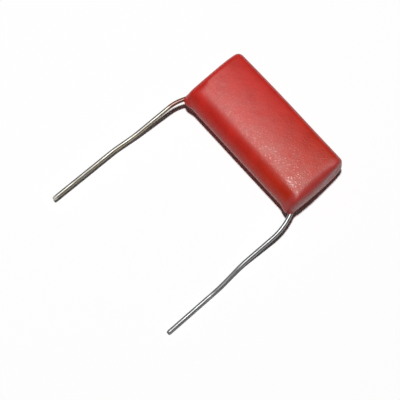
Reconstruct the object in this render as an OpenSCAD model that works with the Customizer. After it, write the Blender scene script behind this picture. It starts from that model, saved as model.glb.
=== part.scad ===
// Film capacitor: a flattened film winding, dipped in epoxy, with two formed wire leads
// It lies on its flat broad face: X runs along the winding, the leads leave towards -Y, Z is up

/* [Wire] */
// Distance between the leads where they leave the coat
lead_pitch = 22.5; // [15:0.5:27.5]
// Diameter of the lead wire
wire_d = 0.65; // [0.5:0.05:0.8]
// How far each lead moves outwards inside the coat
exit_splay = 0.35; // [0.2:0.05:0.5]
// Distance from the lead side of the coat in to where the leads leave it
exit_inset = 0.5; // [0.3:0.1:1]
// Bend radius of the wire inside the coat
exit_r = 1.5; // [1:0.1:2]
// Bend radius where the leads dip towards the surface
dip_r = 3; // [2:0.5:4]
// Bend radius where the leads level off above it
level_r = 10; // [5:0.5:15]
// Radius of the gentle bends further along the leads
gentle_r = 20; // [10:1:25]
// Length of the taper that the cutter leaves at a lead tip
tip_taper = 0.2; // [0.1:0.05:0.5]
// Diameter left at the end of that taper
tip_d = 0.44; // [0.2:0.02:0.48]

/* [Left lead] */
// Length of the left lead beyond its bend at the coat
left_len = 24.9; // [22:0.1:40]
// Gap under the level end of the left lead
left_gap = 0.7; // [0.04:0.02:1.5]
// Outward turn of the left lead at the coat, in degrees
left_turn = 22.9; // [12:0.1:35]
// Straight run from that turn to the first bend
left_first_run = 1.4; // [0.5:0.05:3]
// Turn of the first bend, back towards the middle, in degrees
left_first_turn = 19.8; // [10:0.1:35]
// Radius of the first bend
left_first_r = 6.2; // [4:0.1:12]
// Straight run from the first bend to the second
left_second_run = 5.55; // [3:0.05:7]
// Turn of the second bend, outwards, in degrees
left_second_turn = 3.1; // [1:0.1:10]
// Straight run from where the left lead levels off to the third bend
left_third_run = 0.8; // [0.5:0.05:3]
// Turn of the third bend, towards the middle, in degrees
left_third_turn = 4.8; // [1:0.1:10]

/* [Right lead] */
// Length of the right lead beyond its bend at the coat
right_len = 25.4; // [22:0.1:40]
// Gap under the level end of the right lead
right_gap = 0.04; // [0.04:0.02:1.5]
// Outward turn of the right lead at the coat, in degrees
right_turn = 24.1; // [12:0.1:35]
// Straight run from that turn to the first bend
right_first_run = 0.7; // [0.5:0.05:3]
// Turn of the first bend, back towards the middle, in degrees
right_first_turn = 26; // [10:0.1:35]
// Radius of the first bend
right_first_r = 10.2; // [4:0.1:12]
// Straight run from the first bend to the second
right_second_run = 4.6; // [3:0.05:7]
// Turn of the second bend, outwards, in degrees
right_second_turn = 6.25; // [1:0.05:10]
// Straight run from where the right lead levels off to the third bend
right_third_run = 0.8; // [0.5:0.05:3]
// Turn of the third bend, towards the middle, in degrees
right_third_turn = 4.35; // [1:0.05:10]

/* [Coat] */
// Width of the coat, from the lead side to the far side
coat_w = 10.75; // [10:0.05:16]
// Thickness of the coat at its middle
coat_t = 6; // [5:0.1:8]
// Thickness of the coat over the lead wires at both ends
end_wall = 0.25; // [0.2:0.05:1]
// Thickness of the coat over the long sides of the winding
side_wall = 0.75; // [0.5:0.05:1.5]
// Thickness of the coat over the broad faces of the winding
face_wall = 0.75; // [0.7:0.05:1]
// Reach of the rounding at the left end
left_roll = 0.95; // [0.6:0.05:1.2]
// Reach of the rounding at the right end
right_roll = 1.3; // [0.6:0.05:1.4]
// Reach of the rounding on the lead side
front_roll = 2.65; // [1:0.05:3]
// Reach of the rounding on the far side
back_roll = 0.95; // [0.6:0.05:3]
// Fullness of all corners but the far left one: 2 is round, more is squarer
corner_power = 3; // [2:0.1:4]
// Fall of the upper face from its middle to the long sides
crown_across = 0.5; // [0.05:0.05:0.6]
// Fall of the upper face from its middle to the ends
crown_along = 0.12; // [0.04:0.02:0.3]
// Further fall of the upper face, close to its far side
crown_back = 0.25; // [0:0.05:0.5]
// Bow of the right end
end_bow = 0.16; // [0:0.02:0.3]
// Bow of the far side
back_bow = 0.1; // [0:0.02:0.3]
// How far each end draws in towards its corner on the far side
end_draw = 0.3; // [0:0.05:0.4]
// Thickness that the coat's bead adds round a lead where it is thickest
bead_rise = 0.3; // [0.1:0.05:0.6]
// Thickness of the thin edge in which the bead ends on the lead
bead_edge = 0.06; // [0.03:0.01:0.15]
// Distance from where a lead leaves the coat in to where its bead is thickest
bead_seat = 0.8; // [0.5:0.1:1.5]
// Length over which the bead thins out along the lead
bead_out = 1; // [0.8:0.1:2.5]
// Length over which the bead thins out into the coat
bead_in = 1.8; // [1.5:0.1:3]

/* [Core] */
// Thickness of the metal sprayed on each end of the winding
spray_t = 0.5; // [0.3:0.05:1]
// Depth to which the lead wire is pressed into the sprayed metal
weld_depth = 0.25; // [0.1:0.05:0.3]
// Length of wire that lies welded on the sprayed metal
weld_len = 6; // [4:0.5:8]

/* [Hidden] */
$fn = 48;

mid_z = coat_t / 2;
weld_x = lead_pitch / 2 - exit_splay;
half_l = weld_x + wire_d / 2 + end_wall;
half_w = coat_w / 2;
spray_x = weld_x - wire_d / 2 + weld_depth;
winding_l = 2 * (spray_x - spray_t);
winding_w = coat_w - 2 * side_wall;
winding_t = coat_t - 2 * face_wall;

// Corners of the coat, from the far right one round to the near right one
corner_sides = [[1, 1], [-1, 1], [-1, -1], [1, -1]];
corner_rolls = [
    [right_roll, back_roll],
    [left_roll, back_roll],
    [left_roll, front_roll],
    [right_roll, front_roll]
];
corner_powers = [corner_power, 2, corner_power, corner_power];

// Facets of the coat: steps round a corner, up its rounding, and along its long and short edges
corner_steps = 8;
roll_steps = 8;
edge_steps = [12, 6];
// The rounding stops short of level, where it meets the flat of a broad face
roll_end = 80;
// Rings that carry the crown in to the middle of the upper face, as shares of its flat
crown_shares = [0.8, 0.6, 0.4, 0.2];
bead_steps = 14;

// Facets of the formed wire, and the most that it turns from one ring to the next
wire_sides = 24;
wire_turn = 4;
// The formed wire is this much slimmer than the straight end that it runs into, for this length
lap_gap = 0.02;
lap_len = 0.5;

// Turns of a wire are given as where the bend heads, seen along the wire
outwards = 0;
upwards = 90;
inwards = 180;
downwards = 270;

function arc_len(turn, radius) = turn * radius * PI / 180;

function step_len(step) = step[0] + arc_len(step[2], step[3]);

function steps_len(steps, first, i) = i < first ? 0 : step_len(steps[i]) + steps_len(steps, first, i - 1);

// Angle at which a lead dips, so that it levels off with the given gap under it
function dip(run, gap) =
    let (radii = dip_r + level_r)
    let (drop = mid_z - wire_d / 2 - gap)
    atan2(radii, run) - asin((radii - drop) / norm([radii, run]));

// Straight wire from its welded end to the dip, so that it leaves the coat at the lead pitch
function weld_run(turn, fall) =
    weld_len / 2 + half_w - exit_inset
    - exit_splay / tan(turn) - exit_r * tan(turn / 2) - dip_r * sin(fall);

// Wire from the end of its outward bend to where it leaves the coat
function exit_run(turn) = exit_splay / sin(turn) - exit_r * tan(turn / 2);

// Steps of a formed lead before its straight end: straight run, heading of the bend, angle, radius
function lead_steps(turn, gap, first, second, third) =
    let (falling = [[0, outwards, turn, exit_r], first, second])
    let (fall = dip(steps_len(falling, 0, 2), gap))
    concat(
        [[weld_run(turn, fall), downwards, fall, dip_r]],
        falling,
        [[0, upwards, fall, level_r], third]
    );

left_steps = lead_steps(
    left_turn,
    left_gap,
    [left_first_run, inwards, left_first_turn, left_first_r],
    [left_second_run, outwards, left_second_turn, gentle_r],
    [left_third_run, inwards, left_third_turn, gentle_r]
);
right_steps = lead_steps(
    right_turn,
    right_gap,
    [right_first_run, inwards, right_first_turn, right_first_r],
    [right_second_run, outwards, right_second_turn, gentle_r],
    [right_third_run, inwards, right_third_turn, gentle_r]
);
// The step that turns a lead outwards at the coat
exit_step = 1;

// A place on a wire: its point, then the ways outwards, upwards and along the wire
weld_place = [[weld_x, weld_len / 2, mid_z], [1, 0, 0], [0, 0, 1], [0, -1, 0]];

function run_on(place, run) = [place[0] + run * place[3], place[1], place[2], place[3]];

function bend_on(place, heading, angle, radius) =
    let (side = cos(heading) * place[1] + sin(heading) * place[2])
    let (across = cos(heading) * place[2] - sin(heading) * place[1])
    let (new_side = cos(angle) * side - sin(angle) * place[3])
    [
        place[0] + radius * ((1 - cos(angle)) * side + sin(angle) * place[3]),
        cos(heading) * new_side - sin(heading) * across,
        sin(heading) * new_side + cos(heading) * across,
        cos(angle) * place[3] + sin(angle) * side
    ];

function step_end(place, step) = bend_on(run_on(place, step[0]), step[1], step[2], step[3]);

// Places along the bend of a step, from where it starts to where it ends
function bend_places(place, step) =
    let (from = run_on(place, step[0]))
    let (count = ceil(step[2] / wire_turn))
    [for (i = [1:count]) bend_on(from, step[1], step[2] * i / count, step[3])];

function wire_places(place, steps, i = 0) =
    i == len(steps)
    ? [run_on(place, lap_len)]
    : concat(
        steps[i][0] > 0 ? [run_on(place, steps[i][0])] : [],
        bend_places(place, steps[i]),
        wire_places(step_end(place, steps[i]), steps, i + 1)
    );

function steps_end(place, steps, last, i = 0) =
    i > last ? place : steps_end(step_end(place, steps[i]), steps, last, i + 1);

// Share of a rounding's reach: a sine or cosine, made fuller
function filled(value, power) = sign(value) * pow(abs(value), 2 / power);

// Point on the rounded corner of a ring, for the quarter that it turns through
function corner_point(quarter, angle, reach, share) =
    let (sides = corner_sides[quarter % 4])
    let (rolls = corner_rolls[quarter % 4])
    let (power = corner_powers[quarter % 4])
    [
        sides[0] * (half_l - rolls[0]) * share + reach * rolls[0] * filled(cos(angle), power),
        sides[1] * (half_w - rolls[1]) * share + reach * rolls[1] * filled(sin(angle), power)
    ];

// Outline of the coat at one level: four corners with straight edges between them
function ring_outline(reach, share) = [
    for (quarter = [0:3])
        let (turn_end = 90 * (quarter + 1))
        let (from = corner_point(quarter, turn_end, reach, share))
        let (to = corner_point(quarter + 1, turn_end, reach, share))
        let (steps = edge_steps[quarter % 2])
        each concat(
            [for (i = [0:corner_steps])
                corner_point(quarter, turn_end - 90 + 90 * i / corner_steps, reach, share)],
            [for (i = [1:steps - 1]) from + (to - from) * i / steps]
        )
];

function crown_fall(p) =
    let (x = p[0] / half_l)
    let (y = p[1] / half_w)
    crown_along * pow(x, 2) + crown_across * pow(y, 2) + crown_back * pow(max(y, 0), 8);

// Height on the coat: the lower half is level at its foot, the upper half is crowned
function skin_z(p, lift) = lift < 0 ? mid_z * (1 + lift) : mid_z + lift * (mid_z - crown_fall(p));

// Outline as dipping leaves it: the right end and the far side bow out, the ends draw in on the far side
function drawn(p) =
    let (x = p[0] / half_l)
    let (y = p[1] / half_w)
    let (far = max(y, 0))
    [
        p[0] + max(x, 0) * end_bow * (1 - pow(y, 2)) - x * end_draw * pow(far, 4),
        p[1] + far * back_bow * (1 - pow(x, 2))
    ];

function skin_ring(reach, lift, share) =
    [for (p = ring_outline(reach, share)) concat(drawn(p), skin_z(p, lift))];

// Closed skin through rings of points that all have the same count, with a point in each end
module loft(rings, foot, head) {
    count = len(rings[0]);
    last = len(rings) * count - count;
    walls = [
        for (j = [0:len(rings) - 2], i = [0:count - 1])
            let (a = j * count + i)
            let (b = j * count + (i + 1) % count)
            each [[a, b + count, b], [a, a + count, b + count]]
    ];
    ends = [
        for (i = [0:count - 1])
            let (k = (i + 1) % count)
            each [[last + count, i, k], [last + count + 1, last + k, last + i]]
    ];
    polyhedron(
        points = concat([for (ring = rings) each ring], [foot, head]),
        faces = concat(walls, ends),
        convexity = 4
    );
}

// Carries its children, made along +Z, to a place on a wire
module at_place(place) {
    multmatrix([
        for (i = [0:2]) [place[1][i], place[2][i], place[3][i], place[0][i]]
    ])
        children();
}

// A lead on the right: the formed stretch, then a straight end with the cutter's taper
module lead_wire(steps, length) {
    places = concat([weld_place], wire_places(weld_place, steps));
    rings = [
        for (place = places)
            [for (i = [0:wire_sides - 1])
                let (angle = 360 * i / wire_sides)
                place[0] + (wire_d / 2 - lap_gap) * (cos(angle) * place[1] + sin(angle) * place[2])]
    ];
    straight = length - steps_len(steps, exit_step + 1, len(steps) - 1) - tip_taper;
    loft(rings, places[0][0], places[len(places) - 1][0]);
    at_place(steps_end(weld_place, steps, len(steps) - 1)) {
        cylinder(d = wire_d, h = straight);
        translate([0, 0, straight])
            cylinder(d1 = wire_d, d2 = tip_d, h = tip_taper);
    }
}

module right_wire() {
    lead_wire(right_steps, right_len);
}

module left_wire() {
    on_left() lead_wire(left_steps, left_len);
}

// Bead of coat round a lead: thickest just inside the coat, thinning out both ways
module lead_bead(steps, turn) {
    profile = [
        for (i = [-bead_steps:bead_steps])
            [
                wire_d / 2 + bead_edge + bead_rise * (1 + cos(180 * i / bead_steps)) / 2,
                i / bead_steps * (i < 0 ? bead_in : bead_out)
            ]
    ];
    at_place(run_on(steps_end(weld_place, steps, exit_step), exit_run(turn) - bead_seat))
        rotate_extrude()
            polygon(concat([[0, -bead_in]], profile, [[0, bead_out]]));
}

module on_left() {
    mirror([1, 0, 0]) children();
}

// Rounded pillow that the dipping leaves, lofted through rings from its foot to its crown
module coat_pillow() {
    rings = concat(
        [for (i = [-roll_steps:roll_steps])
            let (angle = roll_end * i / roll_steps)
            skin_ring(cos(angle), sin(angle) / sin(roll_end), 1)],
        [for (share = crown_shares) skin_ring(cos(roll_end), 1, share)]
    );
    loft(rings, [0, 0, 0], [0, 0, coat_t]);
}

// Section of the flattened roll: straight broad faces and half-round edges
module roll_section() {
    edge_y = winding_w / 2 - winding_t / 2;
    union() {
        square([2 * edge_y, winding_t], center = true);
        for (y = [-edge_y, edge_y])
            translate([y, 0]) circle(d = winding_t);
    }
}

// Length of the roll's section, from one place along X
module roll_slice(x, length) {
    translate([x, 0, mid_z])
        rotate([90, 0, 90])
            linear_extrude(length)
                roll_section();
}

module spray_layer(x) {
    difference() {
        roll_slice(x, spray_t);
        children();
    }
}

module epoxy_coat() {
    color([0.72, 0.16, 0.14])
        difference() {
            union() {
                coat_pillow();
                lead_bead(right_steps, right_turn);
                on_left() lead_bead(left_steps, left_turn);
            }
            roll_slice(-spray_x, 2 * spray_x);
            right_wire();
            left_wire();
        }
}

module film_winding() {
    color([0.78, 0.78, 0.74])
        roll_slice(-winding_l / 2, winding_l);
}

module end_spray_left() {
    color([0.55, 0.55, 0.56])
        spray_layer(-spray_x) left_wire();
}

module end_spray_right() {
    color([0.55, 0.55, 0.56])
        spray_layer(winding_l / 2) right_wire();
}

module lead_left() {
    color([0.75, 0.75, 0.73])
        left_wire();
}

module lead_right() {
    color([0.75, 0.75, 0.73])
        right_wire();
}

epoxy_coat();
film_winding();
end_spray_left();
end_spray_right();
lead_left();
lead_right();
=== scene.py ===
import math
import re
import bmesh
import bpy
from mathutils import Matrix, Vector


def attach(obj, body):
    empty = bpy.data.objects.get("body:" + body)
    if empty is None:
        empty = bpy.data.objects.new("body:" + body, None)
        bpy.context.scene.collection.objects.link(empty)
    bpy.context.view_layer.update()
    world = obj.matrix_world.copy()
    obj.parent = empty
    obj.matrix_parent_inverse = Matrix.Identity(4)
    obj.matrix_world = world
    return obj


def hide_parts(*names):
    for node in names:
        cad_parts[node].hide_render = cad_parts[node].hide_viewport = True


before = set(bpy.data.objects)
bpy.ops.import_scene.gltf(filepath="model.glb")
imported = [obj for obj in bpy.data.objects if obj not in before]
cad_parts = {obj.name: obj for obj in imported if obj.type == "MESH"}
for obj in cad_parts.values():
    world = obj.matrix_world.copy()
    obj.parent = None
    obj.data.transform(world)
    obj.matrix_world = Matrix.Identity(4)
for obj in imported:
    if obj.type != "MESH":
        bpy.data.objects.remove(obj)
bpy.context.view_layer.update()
scene = bpy.context.scene
mm = 0.001
print("frame loaded:", ", ".join(sorted(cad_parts)))


# node helpers
def setSocket(tree, socket, value):
    if isinstance(value, bpy.types.NodeSocket):
        tree.links.new(value, socket)
    else:
        socket.default_value = value


def addNode(tree, kind, inputs=None, **settings):
    node = tree.nodes.new(kind)
    for name, value in settings.items():
        setattr(node, name, value)
    for key, value in (inputs or {}).items():
        setSocket(tree, node.inputs[key], value)
    return node


def number(tree, operation, *terms, clamp=False):
    node = addNode(tree, "ShaderNodeMath", dict(enumerate(terms)), operation=operation, use_clamp=clamp)
    return node.outputs["Value"]


def product(tree, first, *others):
    for other in others:
        first = number(tree, "MULTIPLY", first, other)
    return first


def positive(tree, value):
    return number(tree, "MAXIMUM", value, 0.0)


def distance(tree, value, centre):
    return number(tree, "ABSOLUTE", number(tree, "SUBTRACT", value, centre))


def vector(tree, operation, *terms, output="Vector"):
    node = addNode(tree, "ShaderNodeVectorMath", dict(enumerate(terms)), operation=operation)
    return node.outputs[output]


def combine(tree, x, y, z):
    return addNode(tree, "ShaderNodeCombineXYZ", {"X": x, "Y": y, "Z": z}).outputs["Vector"]


def separate(tree, value):
    return addNode(tree, "ShaderNodeSeparateXYZ", {"Vector": value}).outputs


def remap(tree, value, fromMin, fromMax, toMin, toMax, curve="SMOOTHSTEP"):
    inputs = {"Value": value, "From Min": fromMin, "From Max": fromMax, "To Min": toMin, "To Max": toMax}
    return addNode(tree, "ShaderNodeMapRange", inputs, interpolation_type=curve).outputs["Result"]


# sizes of a piece as named inputs of its tree: lengths in metres, and plain numbers as they are
def namedInputs(piece, plain):
    sizes = {}
    for key, value in piece.items():
        label = re.sub("([A-Z])", r" \1", key).title()
        sizes[label] = value if key in plain else value * mm
    return sizes


def geometryTree(name, sizes):
    tree = bpy.data.node_groups.new(name, "GeometryNodeTree")
    tree.interface.new_socket("Geometry", in_out="OUTPUT", socket_type="NodeSocketGeometry")
    tree.interface.new_socket("Path", in_out="INPUT", socket_type="NodeSocketGeometry")
    tree.interface.new_socket("Finish", in_out="INPUT", socket_type="NodeSocketMaterial")
    for label, value in sizes.items():
        kind = "NodeSocketInt" if isinstance(value, int) else "NodeSocketFloat"
        tree.interface.new_socket(label, in_out="INPUT", socket_type=kind)
    return tree, addNode(tree, "NodeGroupInput").outputs


def endTree(tree, geometry, finish):
    smooth = addNode(tree, "GeometryNodeSetShadeSmooth", {"Geometry": geometry})
    whole = addNode(tree, "GeometryNodeRealizeInstances", {"Geometry": smooth.outputs[0]})
    dressed = addNode(tree, "GeometryNodeSetMaterial", {"Geometry": whole.outputs[0], "Material": finish})
    addNode(tree, "NodeGroupOutput", {0: dressed.outputs[0]})


def linkPiece(name, mesh):
    piece = bpy.data.objects.new(name, mesh)
    scene.collection.objects.link(piece)
    return piece


def plainMesh(piece):
    evaluated = piece.evaluated_get(bpy.context.evaluated_depsgraph_get())
    mesh = bpy.data.meshes.new_from_object(evaluated)
    piece.modifiers.clear()
    piece.data = mesh
    return piece


def growPiece(name, base, tree, sizes, finish):
    piece = linkPiece(name, base)
    modifier = piece.modifiers.new("shape", "NODES")
    modifier.node_group = tree
    wanted = {**sizes, "Finish": finish}
    for item in tree.interface.items_tree:
        if item.in_out == "INPUT" and item.name in wanted:
            modifier[item.identifier] = wanted[item.name]
    return plainMesh(piece)


# camera at the photograph's angle: lengths in mm, but for the clip range in metres
view = {
    "target": (1.376, -13.513, 3.0),
    "azimuth": 48.37,
    "elevation": 76.47,
    "distance": 220.0,
    "focalPixels": 1546.4,
    "imagePixels": 400,
    "sensor": 36.0,
    "clip": (0.01, 10.0),
}


# azimuth 0 looks along +Y, with +X to the right
def direction(azimuth, elevation):
    a, e = math.radians(azimuth), math.radians(elevation)
    return Vector((math.sin(a) * math.cos(e), -math.cos(a) * math.cos(e), math.sin(e)))


def aimAlong(thing, way):
    thing.rotation_mode = "QUATERNION"
    thing.rotation_quaternion = way.to_track_quat("-Z", "Y")


def addCamera():
    data = bpy.data.cameras.new("photoCamera")
    data.sensor_width = view["sensor"]
    data.lens = view["focalPixels"] / view["imagePixels"] * view["sensor"]
    data.clip_start, data.clip_end = view["clip"]
    camera = bpy.data.objects.new("photoCamera", data)
    back = direction(view["azimuth"], view["elevation"])
    camera.location = (Vector(view["target"]) + back * view["distance"]) * mm
    aimAlong(camera, -back)
    scene.collection.objects.link(camera)
    scene.camera = camera


addCamera()
print("camera set")


grainDetail = 3.0  # finer layers in the grain


# shared grain: fine cells of a chosen size, as a mask and a height
def grainGroup():
    tree = bpy.data.node_groups.new("fineGrain", "ShaderNodeTree")
    for name, kind in (("Vector", "Vector"), ("Size", "Float"), ("Contrast", "Float")):
        tree.interface.new_socket(name, in_out="INPUT", socket_type="NodeSocket" + kind)
    for name in ("Mask", "Height"):
        tree.interface.new_socket(name, in_out="OUTPUT", socket_type="NodeSocketFloat")
    given = addNode(tree, "NodeGroupInput").outputs
    scale = number(tree, "DIVIDE", 1.0, given["Size"])
    cells = {"Vector": given["Vector"], "Scale": scale, "Detail": grainDetail}
    noise = addNode(tree, "ShaderNodeTexNoise", cells).outputs["Fac"]
    centred = number(tree, "SUBTRACT", noise, 0.5)
    mask = number(tree, "MULTIPLY_ADD", centred, given["Contrast"], 0.5, clamp=True)
    addNode(tree, "NodeGroupOutput", {"Mask": mask, "Height": noise})
    return tree


fineGrain = grainGroup()


def newMaterial(name):
    material = bpy.data.materials.new(name)
    material.use_nodes = True
    tree = material.node_tree
    shader = tree.nodes["Principled BSDF"]
    return material, tree, shader


def setShader(tree, shader, inputs):
    for key, value in inputs.items():
        setSocket(tree, shader.inputs[key], value)


def objectPlace(tree):
    return addNode(tree, "ShaderNodeTexCoord").outputs["Object"]


def grain(tree, place, size, contrast=1.0):
    inputs = {"Vector": place, "Size": size, "Contrast": contrast}
    return addNode(tree, "ShaderNodeGroup", inputs, node_tree=fineGrain).outputs


def mixColor(tree, share, first, second):
    node = addNode(tree, "ShaderNodeMix", data_type="RGBA")
    sockets = {socket.identifier: socket for socket in node.inputs}
    for key, value in (("Factor_Float", share), ("A_Color", first), ("B_Color", second)):
        setSocket(tree, sockets[key], value)
    return next(socket for socket in node.outputs if socket.identifier == "Result_Color")


def bump(tree, height, strength, depth, under=None):
    inputs = {"Height": height, "Strength": strength, "Distance": depth * mm}
    if under is not None:
        inputs["Normal"] = under
    return addNode(tree, "ShaderNodeBump", inputs).outputs["Normal"]


# red dipped epoxy: satin, deeper and coarser towards the right end, with specks that catch the light; the
# paler, greyer red on the right end's roll is a painted reflection; shift and the end stretch are the
# stretches of X over which one colour gives way to the next
epoxy = {
    "left": (0.580, 0.021, 0.0146, 1),
    "right": (0.496, 0.022, 0.0063, 1),
    # painted reflection: the end colour is the red made paler and greyer on the right end's roll
    "end": (0.465, 0.047, 0.042, 1),
    "dark": 0.78,
    "shift": (-6.0, 10.5),
    "endReflectionShift": (9.5, 10.4),
    "mottleSize": 2.0,
    "peelSize": 1.4,
    "speckSize": 0.24,
    "speckShare": 0.5,
    "contrast": 2.5,
    "speckCut": (0.50, 0.66),
    "speckGain": (0.35, 1.0),
    "patchPlace": (9.6, -2.4, 6.0),
    "patchReach": 3.4,
    "patchLift": 0.05,
    "roughness": 0.45,
    "speckDrop": 0.13,
    "mottleRough": 0.09,
    "peelBump": 0.6,
    "peelDepth": 0.05,
    "speckBump": 0.35,
    "speckDepth": 0.02,
    "specular": 0.34,
    "sheenTint": (1.0, 0.99, 0.94, 1),
}


def redEpoxy():
    material, tree, shader = newMaterial("redEpoxy")
    place = objectPlace(tree)
    lengthwise = separate(tree, place)["X"]
    stretches = (epoxy["shift"], epoxy["endReflectionShift"])
    shift, endReflection = (remap(tree, lengthwise, start * mm, end * mm, 0, 1) for start, end in stretches)
    mottle = grain(tree, place, epoxy["mottleSize"] * mm, epoxy["contrast"])
    peel = grain(tree, place, epoxy["peelSize"] * mm)
    speck = grain(tree, place, epoxy["speckSize"] * mm, epoxy["contrast"])
    plain = mixColor(tree, shift, epoxy["left"], epoxy["right"])
    # painted reflection on the right end's roll
    plain = mixColor(tree, endReflection, plain, epoxy["end"])
    broad = product(tree, mottle["Mask"], 1 - epoxy["speckShare"])
    patches = number(tree, "MULTIPLY_ADD", speck["Mask"], epoxy["speckShare"], broad)
    depth = remap(tree, patches, 0, 1, epoxy["dark"], 1.0)
    # specks are smoother than the coat round them, and stand out more at the right end
    gain = remap(tree, shift, 0, 1, *epoxy["speckGain"])
    centre = tuple(c * mm for c in epoxy["patchPlace"])
    away = vector(tree, "DISTANCE", place, centre, output="Value")
    patch = remap(tree, away, 0, epoxy["patchReach"] * mm, 1, 0)
    height = number(tree, "MULTIPLY_ADD", patch, epoxy["patchLift"], speck["Height"])
    specks = product(tree, remap(tree, height, *epoxy["speckCut"], 0, 1), gain)
    uneven = product(tree, number(tree, "SUBTRACT", mottle["Mask"], 0.5), gain)
    rough = number(tree, "MULTIPLY_ADD", uneven, epoxy["mottleRough"], epoxy["roughness"])
    rough = number(tree, "MULTIPLY_ADD", specks, -epoxy["speckDrop"], rough)
    waves = bump(tree, peel["Height"], epoxy["peelBump"], epoxy["peelDepth"])
    setShader(tree, shader, {
        "Base Color": vector(tree, "MULTIPLY", plain, depth),
        "Roughness": rough,
        "Normal": bump(tree, specks, epoxy["speckBump"], epoxy["speckDepth"], waves),
        "Specular IOR Level": epoxy["specular"],
        "Specular Tint": epoxy["sheenTint"],
    })
    return material


# tinned wire: dull metal with draw marks along its length, rougher in patches, with painted shade in
# a warm colour on the flank away from the lamp, and darker and redder next to the coat; streaks and
# patches have a length in mm along the wire
wire = {
    "warm": (0.46, 0.45, 0.41, 1),
    "cool": (0.435, 0.44, 0.445, 1),
    "dull": 0.64,
    "nearCoat": (0.24, 0.11, 0.09, 1),
    "nearCoatShare": 0.85,
    "nearCoatFade": 1.0,
    # painted shade: the warm colour that the patches put on the flank away from the lamp
    "tarnishAndShade": (0.52, 0.42, 0.28, 1),
    "shadedFlank": (0.0, 0.7),
    "cloudLength": 2.6,
    "cloudSize": 1.0,
    "cloudContrast": 6.0,
    "cloudRough": 0.1,
    "streakLength": 4.0,
    "streakCount": 2.2,
    "streakSize": 0.5,
    "streakContrast": 2.5,
    "roughness": (0.46, 0.32),
    "edgeTint": (0.55, 0.54, 0.53, 1),
    "markBump": 0.12,
    "markDepth": 0.02,
}


def tinnedWire(lead, leaves):
    material, tree, shader = newMaterial(lead["tin"])
    run = separate(tree, addNode(tree, "ShaderNodeAttribute", attribute_name="wireRun").outputs["Vector"])
    spread = combine(
        tree,
        product(tree, run["X"], wire["streakCount"]),
        product(tree, run["Y"], wire["streakCount"]),
        number(tree, "DIVIDE", run["Z"], wire["streakLength"] * mm),
    )
    marks = grain(tree, spread, wire["streakSize"], wire["streakContrast"])
    dull = tuple(c * wire["dull"] for c in lead["color"][:3]) + (1,)
    tin = mixColor(tree, marks["Mask"], dull, lead["color"])
    # patches come and go along the wire and make it rougher; the warm colour they put on the flank towards
    # the right, away from the lamp, is painted shade
    slow = combine(tree, run["X"], run["Y"], number(tree, "DIVIDE", run["Z"], wire["cloudLength"] * mm))
    clouds = grain(tree, slow, wire["cloudSize"], wire["cloudContrast"])
    tarnishAndShade = product(tree, clouds["Mask"], lead["tarnishAndShade"])
    facing = separate(tree, addNode(tree, "ShaderNodeTexCoord").outputs["Normal"])["X"]
    paintedShade = product(tree, tarnishAndShade, remap(tree, facing, *wire["shadedFlank"], 0, 1))
    # painted shade on the flank away from the lamp
    tin = mixColor(tree, paintedShade, tin, wire["tarnishAndShade"])
    outside = number(tree, "SUBTRACT", run["Z"], leaves * mm)
    # the wire turns darker and redder next to the coat
    nearCoatStart = lead["nearCoat"] - wire["nearCoatFade"]
    nearCoat = remap(tree, outside, nearCoatStart * mm, lead["nearCoat"] * mm, wire["nearCoatShare"], 0)
    tin = mixColor(tree, nearCoat, tin, wire["nearCoat"])
    rough = remap(tree, marks["Mask"], 0, 1, *wire["roughness"])
    rough = number(tree, "MULTIPLY_ADD", tarnishAndShade, wire["cloudRough"], rough)
    for start, end, share, rougher in lead["scuffs"]:
        fromMiddle = distance(tree, outside, (start + end) / 2 * mm)
        scuff = remap(tree, fromMiddle, (end - start) / 4 * mm, (end - start) / 2 * mm, 1, 0)
        tin = vector(tree, "MULTIPLY", tin, remap(tree, scuff, 0, 1, 1, share))
        rough = number(tree, "MULTIPLY_ADD", scuff, rougher, rough)
    setShader(tree, shader, {
        "Base Color": tin,
        "Roughness": rough,
        "Normal": bump(tree, marks["Height"], wire["markBump"], wire["markDepth"]),
        "Metallic": 1.0,
        "Specular Tint": wire["edgeTint"],
    })
    return material


# the core inside: wound film with its turns, and grainy sprayed metal
core = {
    "film": (0.62, 0.62, 0.58, 1),
    "filmEdge": (0.40, 0.41, 0.40, 1),
    "filmRough": 0.3,
    "filmMetal": 0.6,
    "turnScale": 500.0,
    "turnWander": 0.6,
    "turnDetail": 2.0,
    "turnBump": 0.2,
    "turnDepth": 0.01,
    "spray": (0.36, 0.36, 0.37, 1),
    "sprayPit": (0.20, 0.20, 0.21, 1),
    "sprayRough": 0.65,
    "sprayMetal": 0.8,
    "sprayGrain": 0.25,
    "sprayContrast": 3.0,
    "sprayBump": 0.6,
    "sprayDepth": 0.06,
}


def woundFilm():
    material, tree, shader = newMaterial("woundFilm")
    turns = addNode(tree, "ShaderNodeTexWave", {
        "Vector": objectPlace(tree),
        "Scale": core["turnScale"],
        "Distortion": core["turnWander"],
        "Detail": core["turnDetail"],
    }, bands_direction="Z").outputs["Fac"]
    setShader(tree, shader, {
        "Base Color": mixColor(tree, turns, core["filmEdge"], core["film"]),
        "Normal": bump(tree, turns, core["turnBump"], core["turnDepth"]),
        "Roughness": core["filmRough"],
        "Metallic": core["filmMetal"],
    })
    return material


def sprayedMetal():
    material, tree, shader = newMaterial("sprayedMetal")
    pits = grain(tree, objectPlace(tree), core["sprayGrain"] * mm, core["sprayContrast"])
    setShader(tree, shader, {
        "Base Color": mixColor(tree, pits["Mask"], core["sprayPit"], core["spray"]),
        "Normal": bump(tree, pits["Height"], core["sprayBump"], core["sprayDepth"]),
        "Roughness": core["sprayRough"],
        "Metallic": core["sprayMetal"],
    })
    return material


def dressCore():
    finishes = {"film_winding": woundFilm()}
    finishes["end_spray_left"] = finishes["end_spray_right"] = sprayedMetal()
    for node, material in finishes.items():
        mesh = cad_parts[node].data
        mesh.materials.clear()
        mesh.materials.append(material)


dressCore()
print("core dressed")

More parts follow.
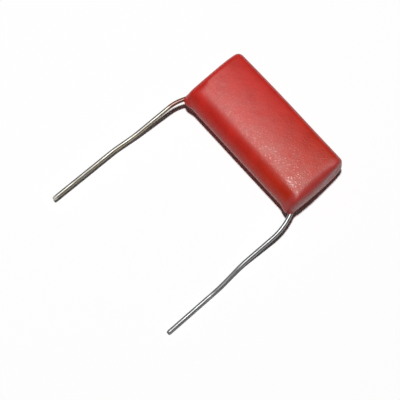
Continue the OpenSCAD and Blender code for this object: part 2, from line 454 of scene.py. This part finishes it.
# formed leads: straight runs and bends, as the part has them
leadShape = {
    "weldX": 10.9,
    "weldLength": 6.0,
    "midHeight": 3.0,
    "exitSplay": 0.35,
    "exitY": -4.875,
    "exitRadius": 1.5,
    "dipRadius": 3.0,
    "levelRadius": 10.0,
    "gentleRadius": 20.0,
    "arcStep": 2.0,  # degrees
    "leastStep": 0.000001,  # points closer than this are one
}
# section of the wire: the cutter tapers its tip, and wobble is its unevenness as a share of the radius
leadSection = {
    "wireRadius": 0.325,
    "tipRadius": 0.22,
    "tipTaper": 0.2,
    "step": 0.15,
    "wobble": 0.015,
    "wobbleScale": 600.0,  # waves in a metre
    "sides": 28,
}
# length is along the wire from the coat to the tip, gap is left below the levelled wire, and turn is the
# splay at the coat in degrees; first to third are bends: straight run before, turn in degrees, and radius
# unless it is the gentle one; nearCoat is the length beyond the coat over which the wire turns darker and
# redder, and scuffs are stretches of another finish: start and end beyond the coat, share of the colour,
# and added roughness
leftLead = {
    "name": "leadLeft",
    "node": "lead_left",
    "tin": "warmTin",
    "color": wire["warm"],
    "side": -1,
    "length": 24.9,
    "gap": 0.7,
    "turn": 22.9,
    "first": (1.4, 19.8, 6.2),
    "second": (5.55, 3.1),
    "third": (0.8, 4.8),
    # this share sets the rough patches and the painted shade on the flank away from the lamp
    "tarnishAndShade": 0.9,
    "nearCoat": 3.4,
    "scuffs": [(11.5, 25.5, 0.85, 0.08), (23.4, 26.4, 1.9, 0.3)],
}
rightLead = {
    "name": "leadRight",
    "node": "lead_right",
    "tin": "coolTin",
    "color": wire["cool"],
    "side": 1,
    "length": 25.4,
    "gap": 0.04,
    "turn": 24.1,
    "first": (0.7, 26, 10.2),
    "second": (4.6, 6.25),
    "third": (0.8, 4.35),
    "tarnishAndShade": 0.1,
    "nearCoat": 0.8,
    "scuffs": [(10.0, 17.4, 0.75, 0.3), (16.0, 26.0, 0.85, 0.08)],
}
leadSizes = namedInputs(leadSection, ("wobble", "wobbleScale", "sides"))


def leadBend(way, straight, turn, radius=leadShape["gentleRadius"]):
    return straight, way, math.radians(turn), radius


def runLength(runs):
    return sum(straight + angle * radius for straight, way, angle, radius in runs)


# runs from the welded end to the tip: straight length, way of the bend, its angle and radius
def leadRuns(lead):
    outwards, inwards, upwards, downwards = (1, 0), (-1, 0), (0, 1), (0, -1)
    falling = [
        leadBend(outwards, 0, lead["turn"], leadShape["exitRadius"]),
        leadBend(inwards, *lead["first"]),
        leadBend(outwards, *lead["second"]),
    ]
    # the lead dips inside the coat and levels off with its gap above the floor
    radii = leadShape["dipRadius"] + leadShape["levelRadius"]
    drop = leadShape["midHeight"] - leadSection["wireRadius"] - lead["gap"]
    run = runLength(falling)
    fall = math.atan2(radii, run) - math.asin((radii - drop) / math.hypot(radii, run))
    turn = math.radians(lead["turn"])
    weldRun = (
        leadShape["weldLength"] / 2 - leadShape["exitY"]
        - leadShape["exitSplay"] / math.tan(turn)
        - leadShape["exitRadius"] * math.tan(turn / 2)
        - leadShape["dipRadius"] * math.sin(fall)
    )
    level = [(0, upwards, fall, leadShape["levelRadius"]), leadBend(inwards, *lead["third"])]
    last = lead["length"] - runLength(falling[1:] + level)
    return [(weldRun, downwards, fall, leadShape["dipRadius"])] + falling + level, last


# length along the lead from its welded end to where it leaves the coat
def exitRun(lead):
    runs = leadRuns(lead)[0]
    turn = math.radians(lead["turn"])
    bent = runLength(runs[:2])
    return bent + leadShape["exitSplay"] / math.sin(turn) - leadShape["exitRadius"] * math.tan(turn / 2)


def leadPoints(lead):
    runs, last = leadRuns(lead)
    point = Vector((lead["side"] * leadShape["weldX"], leadShape["weldLength"] / 2, leadShape["midHeight"]))
    out, up, along = Vector((lead["side"], 0, 0)), Vector((0, 0, 1)), Vector((0, -1, 0))
    points = [point]
    for straight, way, angle, radius in runs:
        point = point + along * straight
        points.append(point)
        toward = out * way[0] + up * way[1]
        steps = max(2, math.ceil(math.degrees(angle) / leadShape["arcStep"]))
        for i in range(1, steps + 1):
            a = angle * i / steps
            points.append(point + toward * radius * (1 - math.cos(a)) + along * radius * math.sin(a))
        newToward = toward * math.cos(angle) - along * math.sin(angle)
        along = along * math.cos(angle) + toward * math.sin(angle)
        out, up = out + (newToward - toward) * way[0], up + (newToward - toward) * way[1]
        point = points[-1]
    points.append(point + along * last)
    # a run with no straight length would leave two points in one place
    least = leadShape["leastStep"]
    return [p for i, p in enumerate(points) if i == 0 or (p - points[i - 1]).length > least]


def pathMesh(name, points):
    mesh = bpy.data.meshes.new(name)
    edges = [(i, i + 1) for i in range(len(points) - 1)]
    mesh.from_pydata([p * mm for p in points], edges, [])
    return mesh


def pathCurve(tree, path):
    return addNode(tree, "GeometryNodeMeshToCurve", {"Mesh": path}).outputs["Curve"]


def resample(tree, curve, step):
    inputs = {"Curve": curve, "Length": step}
    return addNode(tree, "GeometryNodeResampleCurve", inputs, mode="LENGTH").outputs["Curve"]


def curveRun(tree):
    return addNode(tree, "GeometryNodeSplineParameter").outputs["Length"]


def pointPlace(tree):
    return addNode(tree, "GeometryNodeInputPosition").outputs["Position"]


def capture(tree, geometry, kind, value):
    node = addNode(tree, "GeometryNodeCaptureAttribute", {"Geometry": geometry})
    node.capture_items.new(kind, "kept")
    tree.links.new(value, node.inputs["kept"])
    return node.outputs["Geometry"], node.outputs["kept"]


# unit circle, which the tube scales to its radius
def unitRing(tree, sides):
    inputs = {"Resolution": sides, "Radius": 1.0}
    return addNode(tree, "GeometryNodeCurvePrimitiveCircle", inputs).outputs["Curve"]


def sweepTube(tree, curve, ring, radius):
    inputs = {"Curve": curve, "Profile Curve": ring, "Scale": radius, "Fill Caps": True}
    return addNode(tree, "GeometryNodeCurveToMesh", inputs).outputs["Mesh"]


def leadTree():
    tree, given = geometryTree("formedLead", leadSizes)
    curve = resample(tree, pathCurve(tree, given["Path"]), given["Step"])
    run = curveRun(tree)
    total = addNode(tree, "GeometryNodeSplineLength").outputs["Length"]
    curve, kept = capture(tree, curve, "FLOAT", run)
    ring, around = capture(tree, unitRing(tree, given["Sides"]), "VECTOR", pointPlace(tree))
    fromTip = number(tree, "SUBTRACT", total, run)
    tip, full = given["Tip Radius"], given["Wire Radius"]
    taper = remap(tree, fromTip, 0.0, given["Tip Taper"], tip, full, curve="LINEAR")
    wave = {"W": run, "Scale": given["Wobble Scale"]}
    noise = addNode(tree, "ShaderNodeTexNoise", wave, noise_dimensions="1D").outputs["Fac"]
    sway = product(tree, number(tree, "SUBTRACT", noise, 0.5), given["Wobble"])
    tube = sweepTube(tree, curve, ring, product(tree, taper, number(tree, "ADD", sway, 1.0)))
    # the finish reads where it is round the wire, and how far along it
    side = separate(tree, around)
    place = {"Geometry": tube, "Name": "wireRun", "Value": combine(tree, side["X"], side["Y"], kept)}
    onPoints = {"data_type": "FLOAT_VECTOR", "domain": "POINT"}
    marked = addNode(tree, "GeometryNodeStoreNamedAttribute", place, **onPoints)
    endTree(tree, marked.outputs["Geometry"], given["Finish"])
    return tree


def addLeads():
    tree = leadTree()
    for lead in (leftLead, rightLead):
        name, node = lead["name"], lead["node"]
        finish = tinnedWire(lead, exitRun(lead))
        piece = growPiece(name, pathMesh(name, leadPoints(lead)), tree, leadSizes, finish)
        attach(piece, "root")
        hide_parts(node)


addLeads()
print("leads formed")

# dipped coat: a pillow with rolled edges; front is the lead side and back the far one
coat = {
    "halfLength": 11.475,
    "halfWidth": 5.375,
    "halfHeight": 3.0,
    "leftRoll": 0.95,
    "rightRoll": 0.9,
    "frontRoll": 2.4,
    "backRoll": 0.95,
    "cornerPower": 3.0,  # 2 is round
    "crownAcross": 0.5,
    "crownAlong": 0.12,
    "crownBack": 0.25,
    "crownBackPower": 8.0,
    "crownFade": 0.7,  # share of the crown across that is gone at the right end
    "fadeFrom": 5.5,
    "endBow": 0.16,
    "backBow": 0.1,
    "endDraw": 0.3,
    "endDrawPower": 4.0,
    "tuck": 0.32,
    "tuckLift": 0.3,  # shares of the half height
    "tuckReach": 0.75,
    "tuckFrom": -0.4,  # shares of the half width
    "tuckTo": 0.9,
    "collar": 0.3,
    "collarReach": 1.6,
    "collarX": 10.7,
    "ripple": 0.05,
    "rippleSize": 6.0,
    "rippleDetail": 1.0,
    "rippleFrom": -0.6,  # shares of the half height
    "rippleTo": 0.2,
    "seed": 4.0,
    "softReach": 1.6,
    "softLift": 0.5,
    "holdNear": 1.6,
    "holdFar": 5.4,
    "softPasses": 24,
    "spacing": 0.16,
}
coatPlain = (
    "cornerPower", "crownBackPower", "crownFade", "endDrawPower", "tuckLift", "tuckReach", "tuckFrom",
    "tuckTo", "rippleDetail", "rippleFrom", "rippleTo", "seed", "softLift", "softPasses",
)
coatSizes = namedInputs(coat, coatPlain)


# points of a block as large as the coat
def coatBlock(tree, given, half):
    size = vector(tree, "ADD", half, half)
    spans = separate(tree, size)
    counts = [number(tree, "CEIL", number(tree, "DIVIDE", span, given["Spacing"])) for span in spans]
    inputs = {"Size": size, "Vertices X": counts[0], "Vertices Y": counts[1], "Vertices Z": counts[2]}
    return addNode(tree, "GeometryNodeMeshCube", inputs).outputs["Mesh"]


# corners are fuller than round, but for the far left one; tiny and least keep clear of a zero
def cornerFill(tree, given, bend):
    power, tiny, least = given["Corner Power"], 0.000001, 0.001
    squares = [number(tree, "POWER", bend[axis], 2.0) for axis in "XY"]
    flat = number(tree, "MAXIMUM", number(tree, "SQRT", number(tree, "ADD", *squares)), tiny)
    shares = [number(tree, "DIVIDE", number(tree, "ABSOLUTE", bend[axis]), flat) for axis in "XY"]
    total = number(tree, "ADD", *(number(tree, "POWER", share, power) for share in shares))
    full = number(tree, "POWER", number(tree, "MAXIMUM", total, least), number(tree, "DIVIDE", -1.0, power))
    left = number(tree, "LESS_THAN", bend["X"], 0.0)
    far = number(tree, "GREATER_THAN", bend["Y"], 0.0)
    return number(tree, "MULTIPLY_ADD", number(tree, "SUBTRACT", 1.0, full), product(tree, left, far), full)


# each point of the block is drawn in to the flat and back out along the rolled edge
def rolledSkin(tree, given, place, half):
    high = combine(tree, given["Right Roll"], given["Back Roll"], given["Half Height"])
    low = combine(tree, given["Left Roll"], given["Front Roll"], given["Half Height"])
    inner = vector(tree, "MINIMUM", place, vector(tree, "SUBTRACT", half, high))
    inner = vector(tree, "MAXIMUM", inner, vector(tree, "SUBTRACT", low, half))
    outer = vector(tree, "SUBTRACT", place, inner)
    sign = vector(tree, "SIGN", outer)
    highRoll = vector(tree, "MULTIPLY", high, vector(tree, "MAXIMUM", sign, (0, 0, 0)))
    lowRoll = vector(tree, "MULTIPLY", low, vector(tree, "MINIMUM", sign, (0, 0, 0)))
    roll = vector(tree, "SUBTRACT", highRoll, lowRoll)
    way = vector(tree, "NORMALIZE", vector(tree, "DIVIDE", outer, roll))
    full = cornerFill(tree, given, separate(tree, way))
    reach = vector(tree, "MULTIPLY", vector(tree, "MULTIPLY", way, roll), combine(tree, full, full, 1.0))
    return vector(tree, "ADD", inner, reach), way


# 1 in the middle of the coat, and 0 at its edges
def fallOff(tree, share):
    return number(tree, "SUBTRACT", 1.0, number(tree, "POWER", number(tree, "ABSOLUTE", share), 2.0))


# crown of the upper face, flatter across at the right end and falling off at the far edge; the lower face
# stays flat
def crownSink(tree, given, skin, share, bend):
    sinkX, sinkY = (number(tree, "SUBTRACT", fallOff(tree, share[axis]), 1.0) for axis in "XY")
    level = remap(tree, skin["X"], given["Fade From"], given["Half Length"], 0.0, given["Crown Fade"])
    along = product(tree, sinkX, given["Crown Along"])
    across = product(tree, sinkY, given["Crown Across"], number(tree, "SUBTRACT", 1.0, level))
    far = number(tree, "POWER", positive(tree, share["Y"]), given["Crown Back Power"])
    drop = product(tree, far, given["Crown Back"])
    dome = number(tree, "SUBTRACT", number(tree, "ADD", along, across), drop)
    return product(tree, dome, positive(tree, bend["Z"]))


# the right end bows out a little, both ends draw in towards the far side, and the right one is tucked in at
# half height towards the far corner
def endPush(tree, given, share, bend):
    bow = product(tree, fallOff(tree, share["Y"]), given["End Bow"], positive(tree, share["X"]))
    far = number(tree, "POWER", positive(tree, share["Y"]), given["End Draw Power"])
    shift = number(tree, "SUBTRACT", bow, product(tree, far, given["End Draw"], share["X"]))
    fromTuck = distance(tree, bend["Z"], given["Tuck Lift"])
    tuck = remap(tree, fromTuck, 0.0, given["Tuck Reach"], given["Tuck"], 0.0)
    corner = remap(tree, share["Y"], given["Tuck From"], given["Tuck To"], 0.0, 1.0)
    return number(tree, "SUBTRACT", shift, product(tree, tuck, positive(tree, bend["X"]), corner))


# the far side bows out a little, and the lead side swells round each lead
def sidePush(tree, given, skin, share):
    bow = product(tree, fallOff(tree, share["X"]), given["Back Bow"], positive(tree, share["Y"]))
    fromLead = number(tree, "SUBTRACT", number(tree, "ABSOLUTE", skin["X"]), given["Collar X"])
    away = vector(tree, "LENGTH", combine(tree, fromLead, 0.0, skin["Z"]), output="Value")
    swell = remap(tree, away, 0.0, given["Collar Reach"], given["Collar"], 0.0)
    return number(tree, "MULTIPLY_ADD", swell, number(tree, "MINIMUM", share["Y"], 0.0), bow)


# slow unevenness that dipping leaves, none of it underneath
def dipRipple(tree, given, place, way, bend):
    scale = number(tree, "DIVIDE", 1.0, given["Ripple Size"])
    wave = {"Vector": place, "W": given["Seed"], "Scale": scale, "Detail": given["Ripple Detail"]}
    noise = addNode(tree, "ShaderNodeTexNoise", wave, noise_dimensions="4D").outputs["Fac"]
    sway = product(tree, number(tree, "SUBTRACT", noise, 0.5), given["Ripple"])
    above = remap(tree, bend["Z"], given["Ripple From"], given["Ripple To"], 0.0, 1.0)
    inputs = {0: way, "Scale": product(tree, sway, above)}
    return addNode(tree, "ShaderNodeVectorMath", inputs, operation="SCALE").outputs["Vector"]


# the ridges of the lead side and of the right end are soft, but not near the corners of the right end
def ridgeSoftness(tree, given, place, bend):
    at = separate(tree, place)
    ridgeX = number(tree, "SUBTRACT", given["Half Length"], given["Right Roll"])
    ridgeY = number(tree, "SUBTRACT", given["Front Roll"], given["Half Width"])
    fromSide = number(tree, "SUBTRACT", given["Half Width"], number(tree, "ABSOLUTE", at["Y"]))
    fromEnd = number(tree, "SUBTRACT", given["Half Length"], at["X"])
    soft = 0.0
    for axis, ridge, corner in (("X", ridgeX, fromSide), ("Y", ridgeY, fromEnd)):
        near = remap(tree, distance(tree, at[axis], ridge), 0.0, given["Soft Reach"], 1.0, 0.0)
        hold = remap(tree, corner, given["Hold Near"], given["Hold Far"], 0.0, 1.0)
        soft = number(tree, "MAXIMUM", soft, product(tree, near, hold))
    return product(tree, soft, number(tree, "GREATER_THAN", bend["Z"], given["Soft Lift"]))


def blur(tree, value, weight, passes):
    inputs = {"Value": value, "Weight": weight, "Iterations": passes}
    return addNode(tree, "GeometryNodeBlurAttribute", inputs, data_type="FLOAT_VECTOR").outputs["Value"]


def coatTree():
    tree, given = geometryTree("dippedCoat", coatSizes)
    half = combine(tree, given["Half Length"], given["Half Width"], given["Half Height"])
    place = pointPlace(tree)
    skin, way = rolledSkin(tree, given, place, half)
    at, bend = separate(tree, skin), separate(tree, way)
    share = separate(tree, vector(tree, "DIVIDE", skin, half))
    shift = combine(
        tree,
        endPush(tree, given, share, bend),
        sidePush(tree, given, at, share),
        number(tree, "ADD", crownSink(tree, given, at, share, bend), given["Half Height"]),
    )
    moved = vector(tree, "ADD", vector(tree, "ADD", skin, shift), dipRipple(tree, given, place, way, bend))
    moved = blur(tree, moved, ridgeSoftness(tree, given, place, bend), given["Soft Passes"])
    inputs = {"Geometry": coatBlock(tree, given, half), "Position": moved}
    endTree(tree, addNode(tree, "GeometryNodeSetPosition", inputs).outputs["Geometry"], given["Finish"])
    return tree


# bead of epoxy round each lead: its peak lies inside the coat by its seat, and it leans to the other lead
bead = {
    "seat": 0.8,
    "out": 1.4,
    "in": 1.8,
    "lean": 0.2,
}
beadSection = {
    "start": 0.0,
    "peak": 0.0,
    "end": 0.0,
    "wireRadius": leadSection["wireRadius"],
    "edge": 0.08,
    "rise": 0.4,
    "step": 0.08,
    "sides": 32,
}
beadSizes = namedInputs(beadSection, ("sides",))


# raised-cosine sleeve round a stretch of the lead
def beadTree():
    tree, given = geometryTree("leadBead", beadSizes)
    cut = addNode(tree, "GeometryNodeTrimCurve", {"Curve": pathCurve(tree, given["Path"])}, mode="LENGTH")
    for name in ("Start", "End"):
        socket = next(s for s in cut.inputs if s.name == name and s.enabled)
        tree.links.new(given[name], socket)
    curve = resample(tree, cut.outputs["Curve"], given["Step"])
    fromPeak = number(tree, "SUBTRACT", number(tree, "ADD", curveRun(tree), given["Start"]), given["Peak"])
    before = number(tree, "DIVIDE", fromPeak, number(tree, "SUBTRACT", given["Peak"], given["Start"]))
    after = number(tree, "DIVIDE", fromPeak, number(tree, "SUBTRACT", given["End"], given["Peak"]))
    share = number(tree, "ADD", positive(tree, after), number(tree, "MINIMUM", before, 0.0))
    wave = number(tree, "COSINE", product(tree, share, math.pi))
    swell = product(tree, number(tree, "MULTIPLY_ADD", wave, 0.5, 0.5), given["Rise"])
    radius = number(tree, "ADD", number(tree, "ADD", given["Wire Radius"], given["Edge"]), swell)
    sleeve = sweepTube(tree, curve, unitRing(tree, given["Sides"]), radius)
    endTree(tree, sleeve, given["Finish"])
    return tree


# the dip runs pillow and beads into one skin
dip = {
    "voxel": 0.12,
    "smoothPasses": 8,
    "smoothFactor": 0.5,
}


def joinShells(shells):
    joined = bmesh.new()
    for shell in shells:
        joined.from_mesh(shell.data)
        bpy.data.objects.remove(shell)
    mesh = bpy.data.meshes.new("coat")
    joined.to_mesh(mesh)
    joined.free()
    return mesh


def addCoat():
    finish = redEpoxy()
    shells = [growPiece("coatPillow", bpy.data.meshes.new("coatPillow"), coatTree(), coatSizes, finish)]
    tree = beadTree()
    for lead in (leftLead, rightLead):
        peak = (exitRun(lead) - bead["seat"]) * mm
        reach = {"Start": peak - bead["in"] * mm, "Peak": peak, "End": peak + bead["out"] * mm}
        lean = Vector((lead["side"] * bead["lean"], 0, 0))
        path = pathMesh("coatBead", [point - lean for point in leadPoints(lead)])
        shells.append(growPiece("coatBead", path, tree, {**beadSizes, **reach}, finish))
    mesh = joinShells(shells)
    mesh.materials.append(finish)
    piece = linkPiece("coat", mesh)
    fuse = piece.modifiers.new("fuse", "REMESH")
    fuse.mode = "VOXEL"
    fuse.voxel_size = dip["voxel"] * mm
    fuse.use_smooth_shade = True
    settle = piece.modifiers.new("settle", "SMOOTH")
    settle.factor = dip["smoothFactor"]
    settle.iterations = dip["smoothPasses"]
    plainMesh(piece)
    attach(piece, "root")
    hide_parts("epoxy_coat")
    print("coat faces:", len(piece.data.polygons))


addCoat()
print("coat dipped")

# pale floor, shown white to the camera and to the metal; size in metres, drop in mm
floor = {
    "size": 4.0,
    "drop": 0.01,
    "color": (0.97, 0.97, 0.97, 1),
    "bounce": (0.55, 0.55, 0.55, 1),
    "lift": 0.01,
}


def addFloor():
    mesh = bpy.data.meshes.new("floor")
    reach, level = floor["size"] / 2, -floor["drop"] * mm
    signs = [(-1, -1), (1, -1), (1, 1), (-1, 1)]
    corners = [(x * reach, y * reach, level) for x, y in signs]
    mesh.from_pydata(corners, [], [(0, 1, 2, 3)])
    material, tree, shader = newMaterial("paleFloor")
    path = addNode(tree, "ShaderNodeLightPath").outputs
    seen = number(tree, "MAXIMUM", path["Is Camera Ray"], path["Is Glossy Ray"])
    seen = number(tree, "MAXIMUM", seen, path["Is Transmission Ray"])
    setShader(tree, shader, {
        "Base Color": mixColor(tree, seen, floor["bounce"], floor["color"]),
        "Roughness": 1.0,
        "Specular IOR Level": 0.0,
    })
    glow = addNode(tree, "ShaderNodeEmission", {"Strength": product(tree, seen, floor["lift"])})
    both = addNode(tree, "ShaderNodeAddShader", {0: shader.outputs[0], 1: glow.outputs[0]})
    tree.links.new(both.outputs[0], tree.nodes["Material Output"].inputs["Surface"])
    mesh.materials.append(material)
    linkPiece("floor", mesh)


# one soft lamp overhead, sizes in metres: level is the share of white that it gives a level sheet
lamp = {
    "azimuth": -90,
    "elevation": 85,
    "distance": 1.2,
    "size": (0.08, 0.08),
    "level": 1.0,
}
sky = {
    "color": (1, 1, 1, 1),
    "strength": 0.015,
}


def addLights():
    data = bpy.data.lights.new("overhead", "AREA")
    data.shape = "RECTANGLE"
    data.size, data.size_y = lamp["size"]
    way = direction(lamp["azimuth"], lamp["elevation"])
    data.energy = lamp["level"] * math.pi ** 2 * lamp["distance"] ** 2 / way.z
    light = bpy.data.objects.new("overhead", data)
    light.location = Vector((0, 0, coat["halfHeight"])) * mm + way * lamp["distance"]
    aimAlong(light, -way)
    scene.collection.objects.link(light)
    world = bpy.data.worlds.new("studio")
    world.use_nodes = True
    setShader(world.node_tree, world.node_tree.nodes["Background"], {
        "Color": sky["color"],
        "Strength": sky["strength"],
    })
    scene.world = world


addFloor()
addLights()
scene.view_settings.view_transform = "Standard"
print("stage lit")
